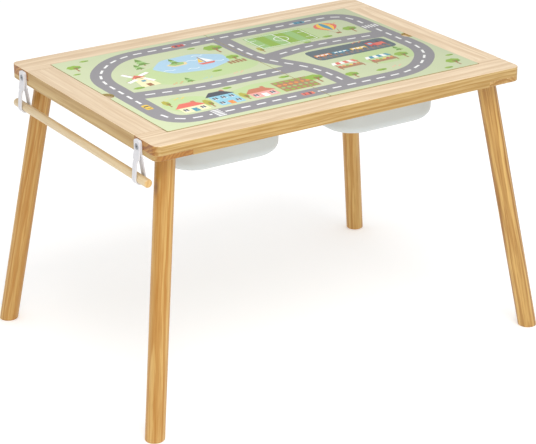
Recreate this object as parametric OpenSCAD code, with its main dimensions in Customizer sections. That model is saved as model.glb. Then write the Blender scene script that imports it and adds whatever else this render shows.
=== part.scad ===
// Low play table for children: a half-lapped softwood frame on four splayed round legs,
// two lift-out boards over two hanging bins, and a paper-roll dowel in two strap loops.
// Millimetres. The origin is on the floor under the middle of the table, +Z is up,
// +X runs along the table, and the paper-roll dowel is on the -X end.

/* [Table] */
// Length of the table top, along X
table_l = 700; // [680:5:760]
// Depth of the table top, along Y
table_d = 495; // [485:5:540]
// Height of the table top above the floor
table_h = 477; // [420:1:560]

/* [Top frame] */
// Width of the frame boards
board_w = 65; // [62:1:70]
// Thickness of the frame boards
board_t = 25; // [24:0.5:28]
// Share of the thickness that the rails keep in the corner lap
lap_share = 0.64; // [0.5:0.01:0.66]
// Radius of the frame's corners, seen from above
corner_r = 13; // [4:1:20]
// Width of the ledge that the boards rest on
ledge_w = 16; // [12:1:18]
// Depth of the recess that the boards lie in
recess_h = 3.5; // [3:0.5:5]

/* [Legs] */
// Diameter of the round legs
leg_dia = 32; // [28:1:36]
// Leg axis at the frame, in from the end of the top
leg_in_x = 41; // [38:1:44]
// Leg axis at the frame, in from the side of the top
leg_in_y = 42.5; // [40:0.5:45]
// Leg axis at the floor, out past the end of the top
leg_out_x = 27; // [10:1:40]
// Leg axis at the floor, out past the side of the top
leg_out_y = 17.5; // [5:0.5:35]

/* [Boards] */
// Thickness of the lift-out boards
lid_t = 4; // [3:0.5:4]
// Gap round each lift-out board
lid_gap = 0.5; // [0.3:0.1:1.5]
// Radius of the half-round finger notch
notch_r = 13; // [10:0.5:14]
// Radius of the boards' corners
lid_corner_r = 3; // [1:0.5:6]

/* [Bins] */
// Half length of a bin body at its top, along X
bin_half_x = 104; // [90:0.5:104.5]
// Half width of a bin body at its top, along Y
bin_half_y = 160.5; // [150:0.5:162]
// Depth of a bin, from the underside of its rim
bin_h = 87; // [60:0.5:110]
// Thickness of the bin walls
bin_wall = 2; // [1.5:0.1:3]
// Width of the rim that the bin hangs by
bin_rim_w = 16; // [14:1:16]
// Thickness of the rim
bin_rim_t = 3; // [2:0.5:3.5]
// Radius of the bin's upright corners
bin_corner_r = 50; // [40:1:60]
// Inward slope of the bin walls, from rim to floor
bin_draft = 2.5; // [1:0.5:10]
// Radius between the bin's walls and its floor
bin_floor_r = 18; // [10:1:28]

/* [Paper roll] */
// Diameter of the dowel
dowel_dia = 14; // [12:1:16]
// Length of the dowel
dowel_l = 455; // [430:5:475]
// Height of the dowel's axis below the table top
dowel_drop = 64; // [58:1:75]
// Distance between the two straps
strap_span = 396; // [330:2:400]
// Width of the strap where it is screwed on
tab_w = 18; // [15:0.5:24]
// Length of the wide part of the strap
tab_h = 31.5; // [30:0.5:33]
// Width of the strap where it loops round the dowel
band_w = 11; // [9:0.5:14]
// Thickness of the strap
strap_t = 2.5; // [2.4:0.1:2.8]

/* [Hidden] */

// Clearance round every fastener, and the overrun that makes each cut clean
snug = 0.05;
over = 1;
round_fn = 48;
screw_fn = 24;

// Heights in the frame
frame_z = table_h - board_t;
lap_z = table_h - board_t * lap_share;
ledge_z = table_h - recess_h;
half_l = table_l / 2;
half_d = table_d / 2;
inner_x = half_l - board_w;
inner_y = half_d - board_w;
recess_x = inner_x + ledge_w;
recess_y = inner_y + ledge_w;

// Leg axis at the frame and at the floor
leg_top = [half_l - leg_in_x, half_d - leg_in_y];
leg_foot = [half_l + leg_out_x, half_d + leg_out_y];
leg_run = leg_foot - leg_top;
leg_turn = atan2(leg_run[1], leg_run[0]);
leg_tilt = atan2(norm(leg_run), frame_z);
leg_len = norm([leg_run[0], leg_run[1], frame_z]);

// Leg fastening: a hanger bolt in the leg and a threaded insert in the frame corner
bolt_r = 4;
bolt_in_leg = 40;
bolt_in_frame = 15;
insert_r = 6;
insert_h = 16;
insert_gap = 0.2;

// Bins hang by their rims on cleats
cleat_h = 12;
bin_gap = 3.5;
short_cleat_w = 23;
long_cleat_w = inner_y - bin_half_y - bin_gap;
bin_x = inner_x - short_cleat_w - bin_gap - bin_half_x;
rim_z = frame_z + 1 + cleat_h;
cleat_end_gap = 0.5;

// Centre rail: an upside-down T that carries the seam of the boards and both bins
centre_web_half = 32.5;
centre_foot_half = bin_x - bin_half_x - bin_gap;
centre_tongue_h = 9.5;

// Strap and dowel
dowel_x = -half_l - strap_t;
dowel_z = table_h - dowel_drop;
tab_top_z = table_h - 2;
tab_bottom_z = tab_top_z - tab_h;
tab_corner_r = 4;
loop_gap = 0.3;
loop_in_r = dowel_dia / 2 + loop_gap;
loop_out_r = loop_in_r + strap_t;
strap_screw_z = table_h - board_t / 2;

// Cup washer of the strap screw: radius and height of its lip, wall and whole height of its cone
washer_r = 5;
washer_t = 0.4;
cup_t = 0.8;
cup_h = 2.1;

dowel_chamfer = 1.5;

// Section of the strap's two layers above the loop: x from the plane between them, z from the
// lower end of the wide part. The front layer leaves the board's end higher than the back one.
front_outside = [[-strap_t, 13.5], [-strap_t - 2.9, 0], [-strap_t - 5, -5.5]];
front_inside = [[0, 13], [-3, -0.5], [-5.1, -6.2]];
back_outside = [[strap_t, 7], [strap_t + 2, 0], [strap_t + 3.4, -3.5]];
back_inside = [[0, 6.5], [2.1, -0.7], [3.5, -4.2]];

// Wood screws: [length, shank radius, head radius, head height]
cleat_screw = [30, 2, 4, 2.5];
short_cleat_screw = [40, 2, 4, 2.5];
centre_screw = [16, 1.75, 3.5, 2.2];
corner_screw = [20, 1.75, 3.5, 2.2];
strap_screw = [26, 2, 3.6, 1.7];

pine = [0.88, 0.70, 0.45];
leg_pine = [0.82, 0.58, 0.30];
dowel_wood = [0.86, 0.68, 0.47];
print_green = [0.72, 0.78, 0.58];
bin_white = [0.90, 0.92, 0.93, 0.8];
strap_white = [0.90, 0.90, 0.91];
steel = [0.62, 0.63, 0.65];

// ---- Shared shapes ----

// A block from its lowest to its highest corner
module block(low, high) {
    translate(low) cube(high - low);
}

// The plan outline of the whole top, with round corners
module top_outline() {
    square([table_l - 2 * corner_r, table_d], center = true);
    square([table_l, table_d - 2 * corner_r], center = true);
    for (side = [-1, 1], end = [-1, 1])
        translate([end * (half_l - corner_r), side * (half_d - corner_r)])
            circle(r = corner_r, $fn = round_fn);
}

// Repeats its children at the four corners of the table
module at_corners() {
    for (turn_x = [0, 1], turn_y = [0, 1])
        mirror([turn_x, 0, 0]) mirror([0, turn_y, 0]) children();
}

// Puts its children on the front left leg's axis, +Z up the leg, zero at the frame's underside
module on_leg_axis() {
    mirror([1, 0, 0]) mirror([0, 1, 0])
        translate([leg_top[0], leg_top[1], frame_z]) rotate([0, -leg_tilt, leg_turn]) children();
}

// The recess that both lift-out boards lie in
module board_recess() {
    block([-recess_x, -recess_y, ledge_z], [recess_x, recess_y, table_h + over]);
}

// A countersunk wood screw that points down, its head's top at zero
module wood_screw(size, gap = 0) {
    length = size[0];
    shank_r = size[1] + gap;
    head_r = size[2] + gap;
    head_h = size[3];
    tip_h = 3 * size[1];
    rotate_extrude($fn = screw_fn)
        polygon([
            [0, gap], [head_r, gap], [head_r, 0], [shank_r, -head_h],
            [shank_r, tip_h - length], [0, -length - gap]
        ]);
}

// ---- Places of the screws ----

// Long cleats: from the cleat's inner face into the rail, at the front left
long_cleat_screw_x = [-bin_x - 75, -bin_x + 60];
cleat_screw_z = frame_z + 1 + cleat_h / 2;
short_cleat_screw_y = [-120, 0, 120];

module at_long_cleat_screws() {
    for (x = long_cleat_screw_x)
        translate([x, -inner_y + long_cleat_w, cleat_screw_z]) rotate([-90, 0, 0]) children();
}

module at_short_cleat_screws() {
    for (y = short_cleat_screw_y)
        translate([-inner_x + short_cleat_w, y, cleat_screw_z]) rotate([0, 90, 0]) children();
}

// Centre rail: down through its tongues into the rails
module at_centre_screws() {
    for (x = [-18, 18], side = [-1, 1])
        translate([x, side * (inner_y + ledge_w / 2), ledge_z]) children();
}

// Corner laps: up through the end board's tongue into the rail's, clear of the leg,
// each place measured in from the end and from the side of the top
corner_screw_in = [[57, 11], [9, 59]];

module at_corner_screws() {
    for (place = corner_screw_in)
        translate([-half_l + place[0], -half_d + place[1], frame_z])
            rotate([180, 0, 0]) children();
}

// ---- Top frame ----

// The hole for the leg's threaded insert, in the front left corner
module insert_hole() {
    on_leg_axis() translate([0, 0, -over])
        cylinder(r = insert_r + insert_gap, h = insert_h + 2 * over, $fn = round_fn);
}

// Front rail: its upper part runs to both ends, over the end boards' lower tongues
module rail() {
    difference() {
        intersection() {
            translate([0, 0, frame_z]) linear_extrude(height = board_t) top_outline();
            union() {
                block([-half_l, -half_d, lap_z], [half_l, -inner_y, table_h]);
                block([-inner_x, -half_d, frame_z], [inner_x, -inner_y, table_h]);
            }
        }
        board_recess();
        // housing for the centre rail's tongue
        block([-centre_web_half, -recess_y, ledge_z - centre_tongue_h],
              [centre_web_half, -inner_y + over, ledge_z + over]);
        for (turn = [0, 1]) mirror([turn, 0, 0]) {
            insert_hole();
            at_long_cleat_screws() wood_screw(cleat_screw, snug);
            at_corner_screws() wood_screw(corner_screw, snug);
        }
        at_centre_screws() wood_screw(centre_screw, snug);
        at_straps() strap_wood_screw(snug);
    }
}

module front_rail() { color(pine) rail(); }
module back_rail() { color(pine) mirror([0, 1, 0]) rail(); }

// Left end board: its lower part runs to both sides, under the rails' upper tongues
module end_board() {
    difference() {
        intersection() {
            translate([0, 0, frame_z]) linear_extrude(height = board_t) top_outline();
            union() {
                block([-half_l, -half_d, frame_z], [-inner_x, half_d, lap_z]);
                block([-half_l, -inner_y, frame_z], [-inner_x, inner_y, table_h]);
            }
        }
        board_recess();
        for (turn = [0, 1]) mirror([0, turn, 0]) {
            insert_hole();
            at_corner_screws() wood_screw(corner_screw, snug);
        }
        at_short_cleat_screws() wood_screw(short_cleat_screw, snug);
    }
}

module left_end_board() { color(pine) end_board(); }
module right_end_board() { color(pine) mirror([1, 0, 0]) end_board(); }

// Centre rail: web under the boards' seam, feet under the bins' rims, tongues in the rails
module centre_rail() {
    color(pine) difference() {
        union() {
            block([-centre_web_half, -inner_y, frame_z + 1], [centre_web_half, inner_y, ledge_z]);
            block([-centre_foot_half, -inner_y, frame_z + 1], [centre_foot_half, inner_y, rim_z]);
            block([-centre_web_half, -recess_y, ledge_z - centre_tongue_h],
                  [centre_web_half, recess_y, ledge_z]);
        }
        at_centre_screws() wood_screw(centre_screw, snug);
    }
}

// ---- Cleats ----

// Front left cleat: a strip screwed to the front rail's inner face
module long_cleat() {
    difference() {
        block([-inner_x, -inner_y, frame_z + 1],
              [-centre_foot_half - cleat_end_gap, -inner_y + long_cleat_w, rim_z]);
        at_long_cleat_screws() wood_screw(cleat_screw, snug);
    }
}

module front_left_cleat() { color(pine) long_cleat(); }
module front_right_cleat() { color(pine) mirror([1, 0, 0]) long_cleat(); }
module back_left_cleat() { color(pine) mirror([0, 1, 0]) long_cleat(); }
module back_right_cleat() { color(pine) mirror([1, 0, 0]) mirror([0, 1, 0]) long_cleat(); }

// Left cleat: a wider strip between the long ones
module short_cleat() {
    reach_y = inner_y - long_cleat_w - cleat_end_gap;
    difference() {
        block([-inner_x, -reach_y, frame_z + 1], [-inner_x + short_cleat_w, reach_y, rim_z]);
        at_short_cleat_screws() wood_screw(short_cleat_screw, snug);
    }
}

module left_cleat() { color(pine) short_cleat(); }
module right_cleat() { color(pine) mirror([1, 0, 0]) short_cleat(); }

// ---- Legs and their fastening ----

// Front left leg: a round bar cut level at the frame and at the floor
module leg() {
    difference() {
        intersection() {
            on_leg_axis() translate([0, 0, -leg_len - leg_dia])
                cylinder(d = leg_dia, h = leg_len + 2 * leg_dia, $fn = round_fn);
            block([-table_l, -table_d, 0], [table_l, table_d, frame_z]);
        }
        on_leg_axis() translate([0, 0, -bolt_in_leg - over])
            cylinder(r = bolt_r + snug, h = bolt_in_leg + leg_dia, $fn = round_fn);
    }
}

module front_left_leg() { color(leg_pine) leg(); }
module front_right_leg() { color(leg_pine) mirror([1, 0, 0]) leg(); }
module back_left_leg() { color(leg_pine) mirror([0, 1, 0]) leg(); }
module back_right_leg() { color(leg_pine) mirror([1, 0, 0]) mirror([0, 1, 0]) leg(); }

// Hanger bolt: wood thread in the leg, machine thread in the insert, with a tapered point
module leg_hanger_bolts() {
    tip_h = 6;
    color(steel) at_corners() on_leg_axis() rotate_extrude($fn = round_fn)
        polygon([
            [0, -bolt_in_leg], [bolt_r / 2, -bolt_in_leg], [bolt_r, tip_h - bolt_in_leg],
            [bolt_r, bolt_in_frame - 1], [bolt_r - 1, bolt_in_frame], [0, bolt_in_frame]
        ]);
}

// Threaded insert: a tube in the frame corner, cut flush with the frame's underside
module leg_insert_nuts() {
    color(steel) at_corners() intersection() {
        on_leg_axis() difference() {
            translate([0, 0, -insert_r])
                cylinder(r = insert_r, h = insert_h + insert_r, $fn = round_fn);
            translate([0, 0, -2 * insert_r])
                cylinder(r = bolt_r + snug, h = insert_h + 4 * insert_r, $fn = round_fn);
        }
        block([-table_l, -table_d, frame_z + snug], [table_l, table_d, table_h]);
    }
}

// ---- Lift-out boards ----

// Left board: square panel with a finger notch in the middle of its outer end
module lid() {
    low_x = -recess_x + lid_gap;
    high_x = -lid_gap / 2;
    side_y = recess_y - lid_gap;
    translate([0, 0, ledge_z]) linear_extrude(height = lid_t) difference() {
        union() {
            translate([low_x + lid_corner_r, -side_y])
                square([high_x - low_x - 2 * lid_corner_r, 2 * side_y]);
            translate([low_x, -side_y + lid_corner_r])
                square([high_x - low_x, 2 * (side_y - lid_corner_r)]);
            for (x = [low_x + lid_corner_r, high_x - lid_corner_r], side = [-1, 1])
                translate([x, side * (side_y - lid_corner_r)]) circle(r = lid_corner_r, $fn = round_fn);
        }
        translate([low_x, 0]) circle(r = notch_r, $fn = round_fn);
    }
}

module left_lid() { color(print_green) lid(); }
module right_lid() { color(print_green) mirror([1, 0, 0]) lid(); }

// ---- Bins ----

arc_steps = 8;

// One closed ring of points on a round-cornered rectangle
function ring(half_x, half_y, r, z) = [
    for (quarter = [0:3], step = [0:arc_steps])
        let (
            angle = 90 * quarter + 90 * step / arc_steps,
            sign_x = (quarter == 0 || quarter == 3) ? 1 : -1,
            sign_y = quarter < 2 ? 1 : -1
        )
        [sign_x * (half_x - r) + r * cos(angle), sign_y * (half_y - r) + r * sin(angle), z]
];

// The bin body's ring at a height below the rim, moved in by the wall for the inside
function body_ring(depth, inset) =
    let (
        wall_in = inset + bin_draft * depth / bin_h,
        curve_top = bin_h - bin_floor_r,
        into_curve = max(0, depth - curve_top) / bin_floor_r,
        floor_in = (bin_floor_r - inset) * (1 - sqrt(max(0, 1 - into_curve * into_curve))),
        shrink = wall_in + floor_in
    )
    ring(bin_half_x - shrink, bin_half_y - shrink, bin_corner_r - shrink * 0.6,
         rim_z - depth + (inset > 0 ? inset * depth / bin_h : 0));

// Skins a list of rings into one closed solid
module skin(rings) {
    count = len(rings[0]);
    last = len(rings) - 1;
    polyhedron(
        points = [for (one = rings) each one],
        faces = concat(
            [[for (i = [0:count - 1]) i]],
            [for (k = [0:last - 1], i = [0:count - 1])
                let (a = k * count + i, b = k * count + (i + 1) % count)
                each [[a, a + count, b + count], [a, b + count, b]]],
            [[for (i = [count - 1:-1:0]) last * count + i]]
        ),
        convexity = 6
    );
}

// A bin as one thin shell: up the outside, round the rim, and down the inside
module bin() {
    floor_steps = [for (k = [6:-1:0]) bin_h - bin_floor_r * (1 - sin(90 * k / 6))];
    depths = concat(floor_steps, [bin_h / 3, 0]);
    outside = [for (depth = depths) body_ring(depth, 0)];
    rim_half = [bin_half_x + bin_rim_w, bin_half_y + bin_rim_w];
    rim_r = bin_corner_r + bin_rim_w;
    top_z = rim_z + bin_rim_t;
    rim = [
        ring(rim_half[0] - 0.8, rim_half[1] - 0.8, rim_r - 0.8, rim_z),
        ring(rim_half[0], rim_half[1], rim_r, rim_z + 0.8),
        ring(rim_half[0], rim_half[1], rim_r, top_z - 0.8),
        ring(rim_half[0] - 0.8, rim_half[1] - 0.8, rim_r - 0.8, top_z),
        ring(bin_half_x - bin_wall + 1, bin_half_y - bin_wall + 1, bin_corner_r - bin_wall + 1, top_z)
    ];
    inside = [for (k = [len(depths) - 1:-1:0]) body_ring(depths[k], bin_wall)];
    skin(concat(outside, rim, inside));
}

module left_bin() { color(bin_white) translate([-bin_x, 0, 0]) bin(); }
module right_bin() { color(bin_white) translate([bin_x, 0, 0]) bin(); }

// ---- Paper-roll dowel and its straps ----

module roll_dowel() {
    color(dowel_wood) translate([dowel_x, 0, dowel_z]) rotate([90, 0, 0])
        rotate_extrude($fn = round_fn) polygon([
            [0, -dowel_l / 2], [dowel_dia / 2 - dowel_chamfer, -dowel_l / 2],
            [dowel_dia / 2, -dowel_l / 2 + dowel_chamfer],
            [dowel_dia / 2, dowel_l / 2 - dowel_chamfer],
            [dowel_dia / 2 - dowel_chamfer, dowel_l / 2], [0, dowel_l / 2]
        ]);
}

// Repeats its children at both straps
module at_straps() {
    for (side = [-1, 1]) translate([0, side * strap_span / 2, 0]) children();
}

// Where a line from a point touches a circle round the dowel, on one side
function touch(from, r, side) =
    let (
        away = from - [dowel_x, dowel_z],
        angle = atan2(away[1], away[0]) + side * acos(r / norm(away))
    )
    [dowel_x + r * cos(angle), dowel_z + r * sin(angle)];

// Points of the strap's section in their place
function placed(points) = [for (point = points) [dowel_x + point[0], tab_bottom_z + point[1]]];
function turned(points) = [for (i = [len(points) - 1:-1:0]) points[i]];

// A closed outline down the front layer, round the dowel and up the back layer
module loop_outline(front, back, r) {
    translate([dowel_x, dowel_z]) circle(r = r, $fn = round_fn);
    polygon(concat(
        front, [touch(front[len(front) - 1], r, 1), [dowel_x, dowel_z],
        touch(back[len(back) - 1], r, -1)], turned(back)
    ));
}

// The strap seen along the dowel: two layers that part below the screw and loop round the dowel
module strap_section() {
    difference() {
        loop_outline(concat([[dowel_x - strap_t, tab_top_z]], placed(front_outside)),
                     concat([[dowel_x + strap_t, tab_top_z]], placed(back_outside)), loop_out_r);
        loop_outline(placed(front_inside), placed(back_inside), loop_in_r);
    }
}

// The section carried along the dowel, centred on the strap
module strap_slab(width) {
    translate([0, width / 2, 0]) rotate([90, 0, 0]) linear_extrude(height = width) strap_section();
}

// The wide part's outline, seen from the end of the table
module tab_outline() {
    half_w = tab_w / 2;
    translate([-half_w, tab_bottom_z]) square([tab_w, tab_h - tab_corner_r]);
    translate([-half_w + tab_corner_r, tab_bottom_z]) square([tab_w - 2 * tab_corner_r, tab_h]);
    for (side = [-1, 1])
        translate([side * (half_w - tab_corner_r), tab_top_z - tab_corner_r])
            circle(r = tab_corner_r, $fn = round_fn);
}

// One strap: wide where it is screwed to the end board, narrow where it loops round the dowel
module strap() {
    difference() {
        union() {
            intersection() {
                strap_slab(tab_w + 2 * over);
                translate([dowel_x - 4 * strap_t, 0, 0]) rotate([90, 0, 90])
                    linear_extrude(height = 8 * strap_t) tab_outline();
            }
            intersection() {
                strap_slab(band_w);
                block([-table_l, -band_w, 0], [0, band_w, tab_bottom_z + over]);
            }
        }
        strap_wood_screw(snug);
        strap_cup(snug);
    }
}

module front_strap() { color(strap_white) translate([0, -strap_span / 2, 0]) strap(); }
module back_strap() { color(strap_white) translate([0, strap_span / 2, 0]) strap(); }

// Puts its children on the strap screw's axis, +Z outwards, zero at the head's top
module on_strap_screw() {
    translate([-half_l - 2 * strap_t - washer_t, 0, strap_screw_z]) rotate([0, -90, 0]) children();
}

// Countersunk screw through cup washer and strap into the end board
module strap_wood_screw(gap = 0) { on_strap_screw() wood_screw(strap_screw, gap); }

// The cup washer's body: a flat lip on the strap and a cone that sinks into it
module strap_cup(gap = 0) {
    top_r = strap_screw[2] + cup_t + gap;
    low_r = strap_screw[1] + cup_t + gap;
    on_strap_screw() rotate_extrude($fn = round_fn)
        polygon([
            [0, 0], [washer_r, 0], [washer_r, -washer_t + snug], [top_r, -washer_t + snug],
            [top_r, -washer_t], [low_r, -cup_h - gap], [0, -cup_h - gap]
        ]);
}

module strap_screws() { color(steel) at_straps() strap_wood_screw(); }
module strap_washers() {
    color(steel) at_straps() difference() {
        strap_cup();
        strap_wood_screw(snug);
    }
}

// ---- Hidden screws ----

module cleat_screws() {
    color(steel) {
        at_corners() at_long_cleat_screws() wood_screw(cleat_screw);
        for (turn = [0, 1]) mirror([turn, 0, 0])
            at_short_cleat_screws() wood_screw(short_cleat_screw);
    }
}

module centre_rail_screws() { color(steel) at_centre_screws() wood_screw(centre_screw); }
module corner_screws() { color(steel) at_corners() at_corner_screws() wood_screw(corner_screw); }

front_rail();
back_rail();
left_end_board();
right_end_board();
centre_rail();
front_left_cleat();
front_right_cleat();
back_left_cleat();
back_right_cleat();
left_cleat();
right_cleat();
front_left_leg();
front_right_leg();
back_left_leg();
back_right_leg();
left_lid();
right_lid();
left_bin();
right_bin();
roll_dowel();
front_strap();
back_strap();
strap_screws();
strap_washers();
leg_hanger_bolts();
leg_insert_nuts();
cleat_screws();
centre_rail_screws();
corner_screws();
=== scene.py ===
"""Finished surfaces of a low play table for children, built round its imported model.

Every length is in metres in the table's own frame: the floor is z = 0, +X runs along the table
and the paper-roll dowel is on the -X end. The picture on the boards is drawn in millimetres.
"""

import math

import bmesh
import bpy
import numpy as np
from bpy.props import FloatProperty, FloatVectorProperty, PointerProperty
from mathutils import Matrix, Vector, geometry


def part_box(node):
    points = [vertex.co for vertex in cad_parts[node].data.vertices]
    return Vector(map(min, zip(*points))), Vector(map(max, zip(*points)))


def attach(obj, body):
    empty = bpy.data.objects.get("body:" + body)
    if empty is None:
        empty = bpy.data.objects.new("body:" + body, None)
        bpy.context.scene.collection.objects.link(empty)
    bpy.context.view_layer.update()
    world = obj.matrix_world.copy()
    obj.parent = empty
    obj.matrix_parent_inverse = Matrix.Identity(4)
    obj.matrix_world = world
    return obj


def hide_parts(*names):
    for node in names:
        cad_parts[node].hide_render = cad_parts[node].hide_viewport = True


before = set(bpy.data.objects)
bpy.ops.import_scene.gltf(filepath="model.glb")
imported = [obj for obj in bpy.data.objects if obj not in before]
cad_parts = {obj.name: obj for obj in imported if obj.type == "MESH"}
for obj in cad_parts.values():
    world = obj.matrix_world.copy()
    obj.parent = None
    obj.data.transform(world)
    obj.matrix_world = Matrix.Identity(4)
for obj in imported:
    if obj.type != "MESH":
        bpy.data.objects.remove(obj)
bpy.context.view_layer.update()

bl_info = {
    "name": "Play table surfaces",
    "version": (1, 0, 0),
    "blender": (4, 5, 0),
    "location": "3D View > Sidebar > Play table",
    "description": "Builds the finished surfaces of a play table with bins round its packed model",
    "category": "Object",
}

MM = 0.001
# Points that are nearer than this to a plane or to each other count as touching
TOUCH = 2e-5
# Faces that meet at more than this angle, in degrees, keep a sharp edge between them
CREASE = 30.0


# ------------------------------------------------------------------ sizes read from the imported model

def box_of(node):
    """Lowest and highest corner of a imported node, as arrays."""
    low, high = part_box(node)
    return np.array(low), np.array(high)


RAIL_LOW, RAIL_HIGH = box_of("front_rail")
END_LOW, END_HIGH = box_of("left_end_board")
LID_LOW, LID_HIGH = box_of("left_lid")
BIN_LOW, BIN_HIGH = box_of("left_bin")
DOWEL_LOW, DOWEL_HIGH = box_of("roll_dowel")
WASHER_LOW, WASHER_HIGH = box_of("strap_washers")
SCREW_LOW, SCREW_HIGH = box_of("strap_screws")

HALF_X = RAIL_HIGH[0]
HALF_Y = -RAIL_LOW[1]
INNER_X = -END_HIGH[0]
TOP_Z = RAIL_HIGH[2]
UNDER_Z = RAIL_LOW[2]
SCREW_Z = (SCREW_LOW[2] + SCREW_HIGH[2]) / 2
WASHER_REACH = (WASHER_HIGH[2] - WASHER_LOW[2]) / 2


# ------------------------------------------------------------------ sizes and colours to change

def linear(red, green, blue):
    """A colour given as on a screen, each part from 0 to 255, as the linear light shaders use."""
    screen = np.array([red, green, blue]) / 255.0
    return tuple(np.where(screen <= 0.04045, screen / 12.92, ((screen + 0.055) / 1.055) ** 2.4))


def colour(name, description, red, green, blue):
    """A colour property, given as on a screen."""
    return FloatVectorProperty(name=name, description=description, default=linear(red, green, blue),
                               subtype="COLOR", size=3, min=0.0, max=1.0)


def length(name, description, default):
    """A length property, in metres."""
    return FloatProperty(name=name, description=description, default=default,
                         min=0.0, unit="LENGTH", precision=4)


def amount(name, description, default):
    """A property that is a plain number."""
    return FloatProperty(name=name, description=description, default=default, min=0.0)


class TableTimber(bpy.types.PropertyGroup):
    """Edges and colours of the wooden pieces"""

    outer_edge: length("Outer edge", "Round-over of the frame's outer edges", 0.0016)
    inner_edge: length("Inner edge", "Round-over of the edges inside the frame", 0.0011)
    seam_edge: length("Seam edge", "Easing of the edges that meet in a joint", 0.00025)
    corner_radius: length("Corner radius", "Plan radius of the frame's corners", 0.013)
    leg_radius: length("Leg radius", "Radius of the round legs", 0.016)
    foot_edge: length("Foot edge", "Round-over of the legs at the floor", 0.002)
    dowel_edge: length("Dowel edge", "Chamfer at the dowel's ends", 0.0015)
    ring_gap: length("Ring gap", "Mean distance between the frame's growth rings", 0.0068)
    leg_ring_gap: length("Leg ring gap", "Mean distance between the legs' growth rings", 0.0084)
    frame_pale: colour("Frame, spring wood", "Pale wood of the frame boards", 207, 176, 115)
    frame_dark: colour("Frame, summer wood", "Dark wood of the frame boards", 157, 110, 16)
    leg_pale: colour("Leg, spring wood", "Pale wood of the legs", 210, 170, 97)
    leg_dark: colour("Leg, summer wood", "Dark wood of the legs", 170, 108, 0)
    dowel_pale: colour("Dowel, spring wood", "Pale wood of the dowel", 222, 201, 161)
    dowel_dark: colour("Dowel, summer wood", "Dark wood of the dowel", 206, 175, 129)


class TableBoards(bpy.types.PropertyGroup):
    """The lift-out boards and their printed film"""

    corner_radius: length("Corner radius", "Plan radius of the boards' corners", 0.003)
    notch_radius: length("Notch radius", "Radius of the finger notch", 0.013)
    edge: length("Edge", "Chamfer of the boards' upper edges", 0.0004)
    road_width: length("Road width", "Width of the printed roads", 0.035)
    grass: colour("Grass", "Ground of the printed town", 199, 209, 168)
    road: colour("Road", "Printed roads", 138, 135, 139)
    marks: colour("Road marks", "Dashes on the printed roads", 243, 243, 240)
    core: colour("Core", "Fibreboard at the edges", 182, 167, 113)
    backing: colour("Backing", "Film on the underside", 226, 224, 218)


class TableBins(bpy.types.PropertyGroup):
    """The hanging bins"""

    rim_width: length("Rim width", "Width of the rim that the bin hangs by", 0.016)
    rim_thickness: length("Rim thickness", "Thickness of the rim", 0.003)
    wall: length("Wall", "Thickness of the walls", 0.002)
    corner_radius: length("Corner radius", "Radius of the upright corners", 0.050)
    floor_radius: length("Floor radius", "Radius between walls and floor", 0.018)
    draft: length("Draft", "How far the walls lean in over their height", 0.0025)
    lip: length("Lip", "Rounding where wall and rim meet", 0.0014)
    plastic: colour("Plastic", "Moulded plastic", 200, 205, 203)


class TableRoll(bpy.types.PropertyGroup):
    """The straps that carry the paper-roll dowel, and their screws"""

    strap_edge: length("Strap edge", "Round-over of the straps' edges", 0.0005)
    screw_head: length("Screw head", "Radius of the countersunk heads", 0.0036)
    screw_shank: length("Screw shank", "Radius of the screws' shanks", 0.002)
    cross_reach: length("Cross reach", "Half length of the cross recess", 0.0022)
    cross_half: length("Cross arm", "Half width of the cross recess's arms", 0.0007)
    cross_depth: length("Cross depth", "Depth of the cross recess", 0.0017)
    strap_tint: colour("Strap", "Coated strap", 222, 221, 224)


class TableStage(bpy.types.PropertyGroup):
    """Floor and light"""

    floor_tint: colour("Floor", "Colour of the floor", 240, 240, 240)
    floor_glow: amount("Floor glow", "Light that the pale floor gives off", 0.29)
    sky: amount("Sky", "Strength of the even light", 0.78)
    key: amount("Key lamp", "Power of the high lamp, in watts", 42.0)
    fill: amount("Fill lamp", "Power of the low lamp, in watts", 1.7)


# ------------------------------------------------------------------ node materials

class Signal:
    """A socket of a node. Arithmetic on signals adds the Math nodes for it."""

    def __init__(self, finish, socket):
        self.finish = finish
        self.socket = socket

    def _math(self, operation, *values):
        return self.finish.add("ShaderNodeMath", {"operation": operation}, dict(enumerate(values)))

    def __add__(self, other):
        return self._math("ADD", self, other)

    __radd__ = __add__

    def __sub__(self, other):
        return self._math("SUBTRACT", self, other)

    def __rsub__(self, other):
        return self._math("SUBTRACT", other, self)

    def __mul__(self, other):
        return self._math("MULTIPLY", self, other)

    __rmul__ = __mul__

    def __truediv__(self, other):
        return self._math("DIVIDE", self, other)

    def __rtruediv__(self, other):
        return self._math("DIVIDE", other, self)

    def __pow__(self, other):
        return self._math("POWER", self, other)

    def floor(self):
        return self._math("FLOOR", self)

    def fract(self):
        return self._math("FRACT", self)


# How far slow and quick noise bend the growth rings, in metres
RING_SWAY = 0.026
RING_SHIVER = 0.0014
# How wood changes where it is cut across the grain, and the painted highlight that makes level upper
# faces paler and whiter, for the light and sheen they catch
END_GRAIN_TINT = (0.80, 0.54, 0.22)
TOP_HIGHLIGHT_GAIN = (1.38, 1.50, 2.25)
TOP_HIGHLIGHT_TINT = linear(240, 224, 206)
TOP_HIGHLIGHT_SHARE = 0.38
# A knot's colour, and its height as a share of its width
KNOT_TINT = linear(104, 60, 24)
KNOT_SQUASH = 0.45
# The pale speckle in the printed film, and the two greys of the plated steel
FILM_HAZE = (0.40, 0.41, 0.36)
STEEL_TINTS = (0.24, 0.25, 0.27), (0.42, 0.43, 0.45)


def shade(tint, factor):
    """A colour made darker or lighter."""
    return tuple(min(1.0, factor * part) for part in tint)


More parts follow.
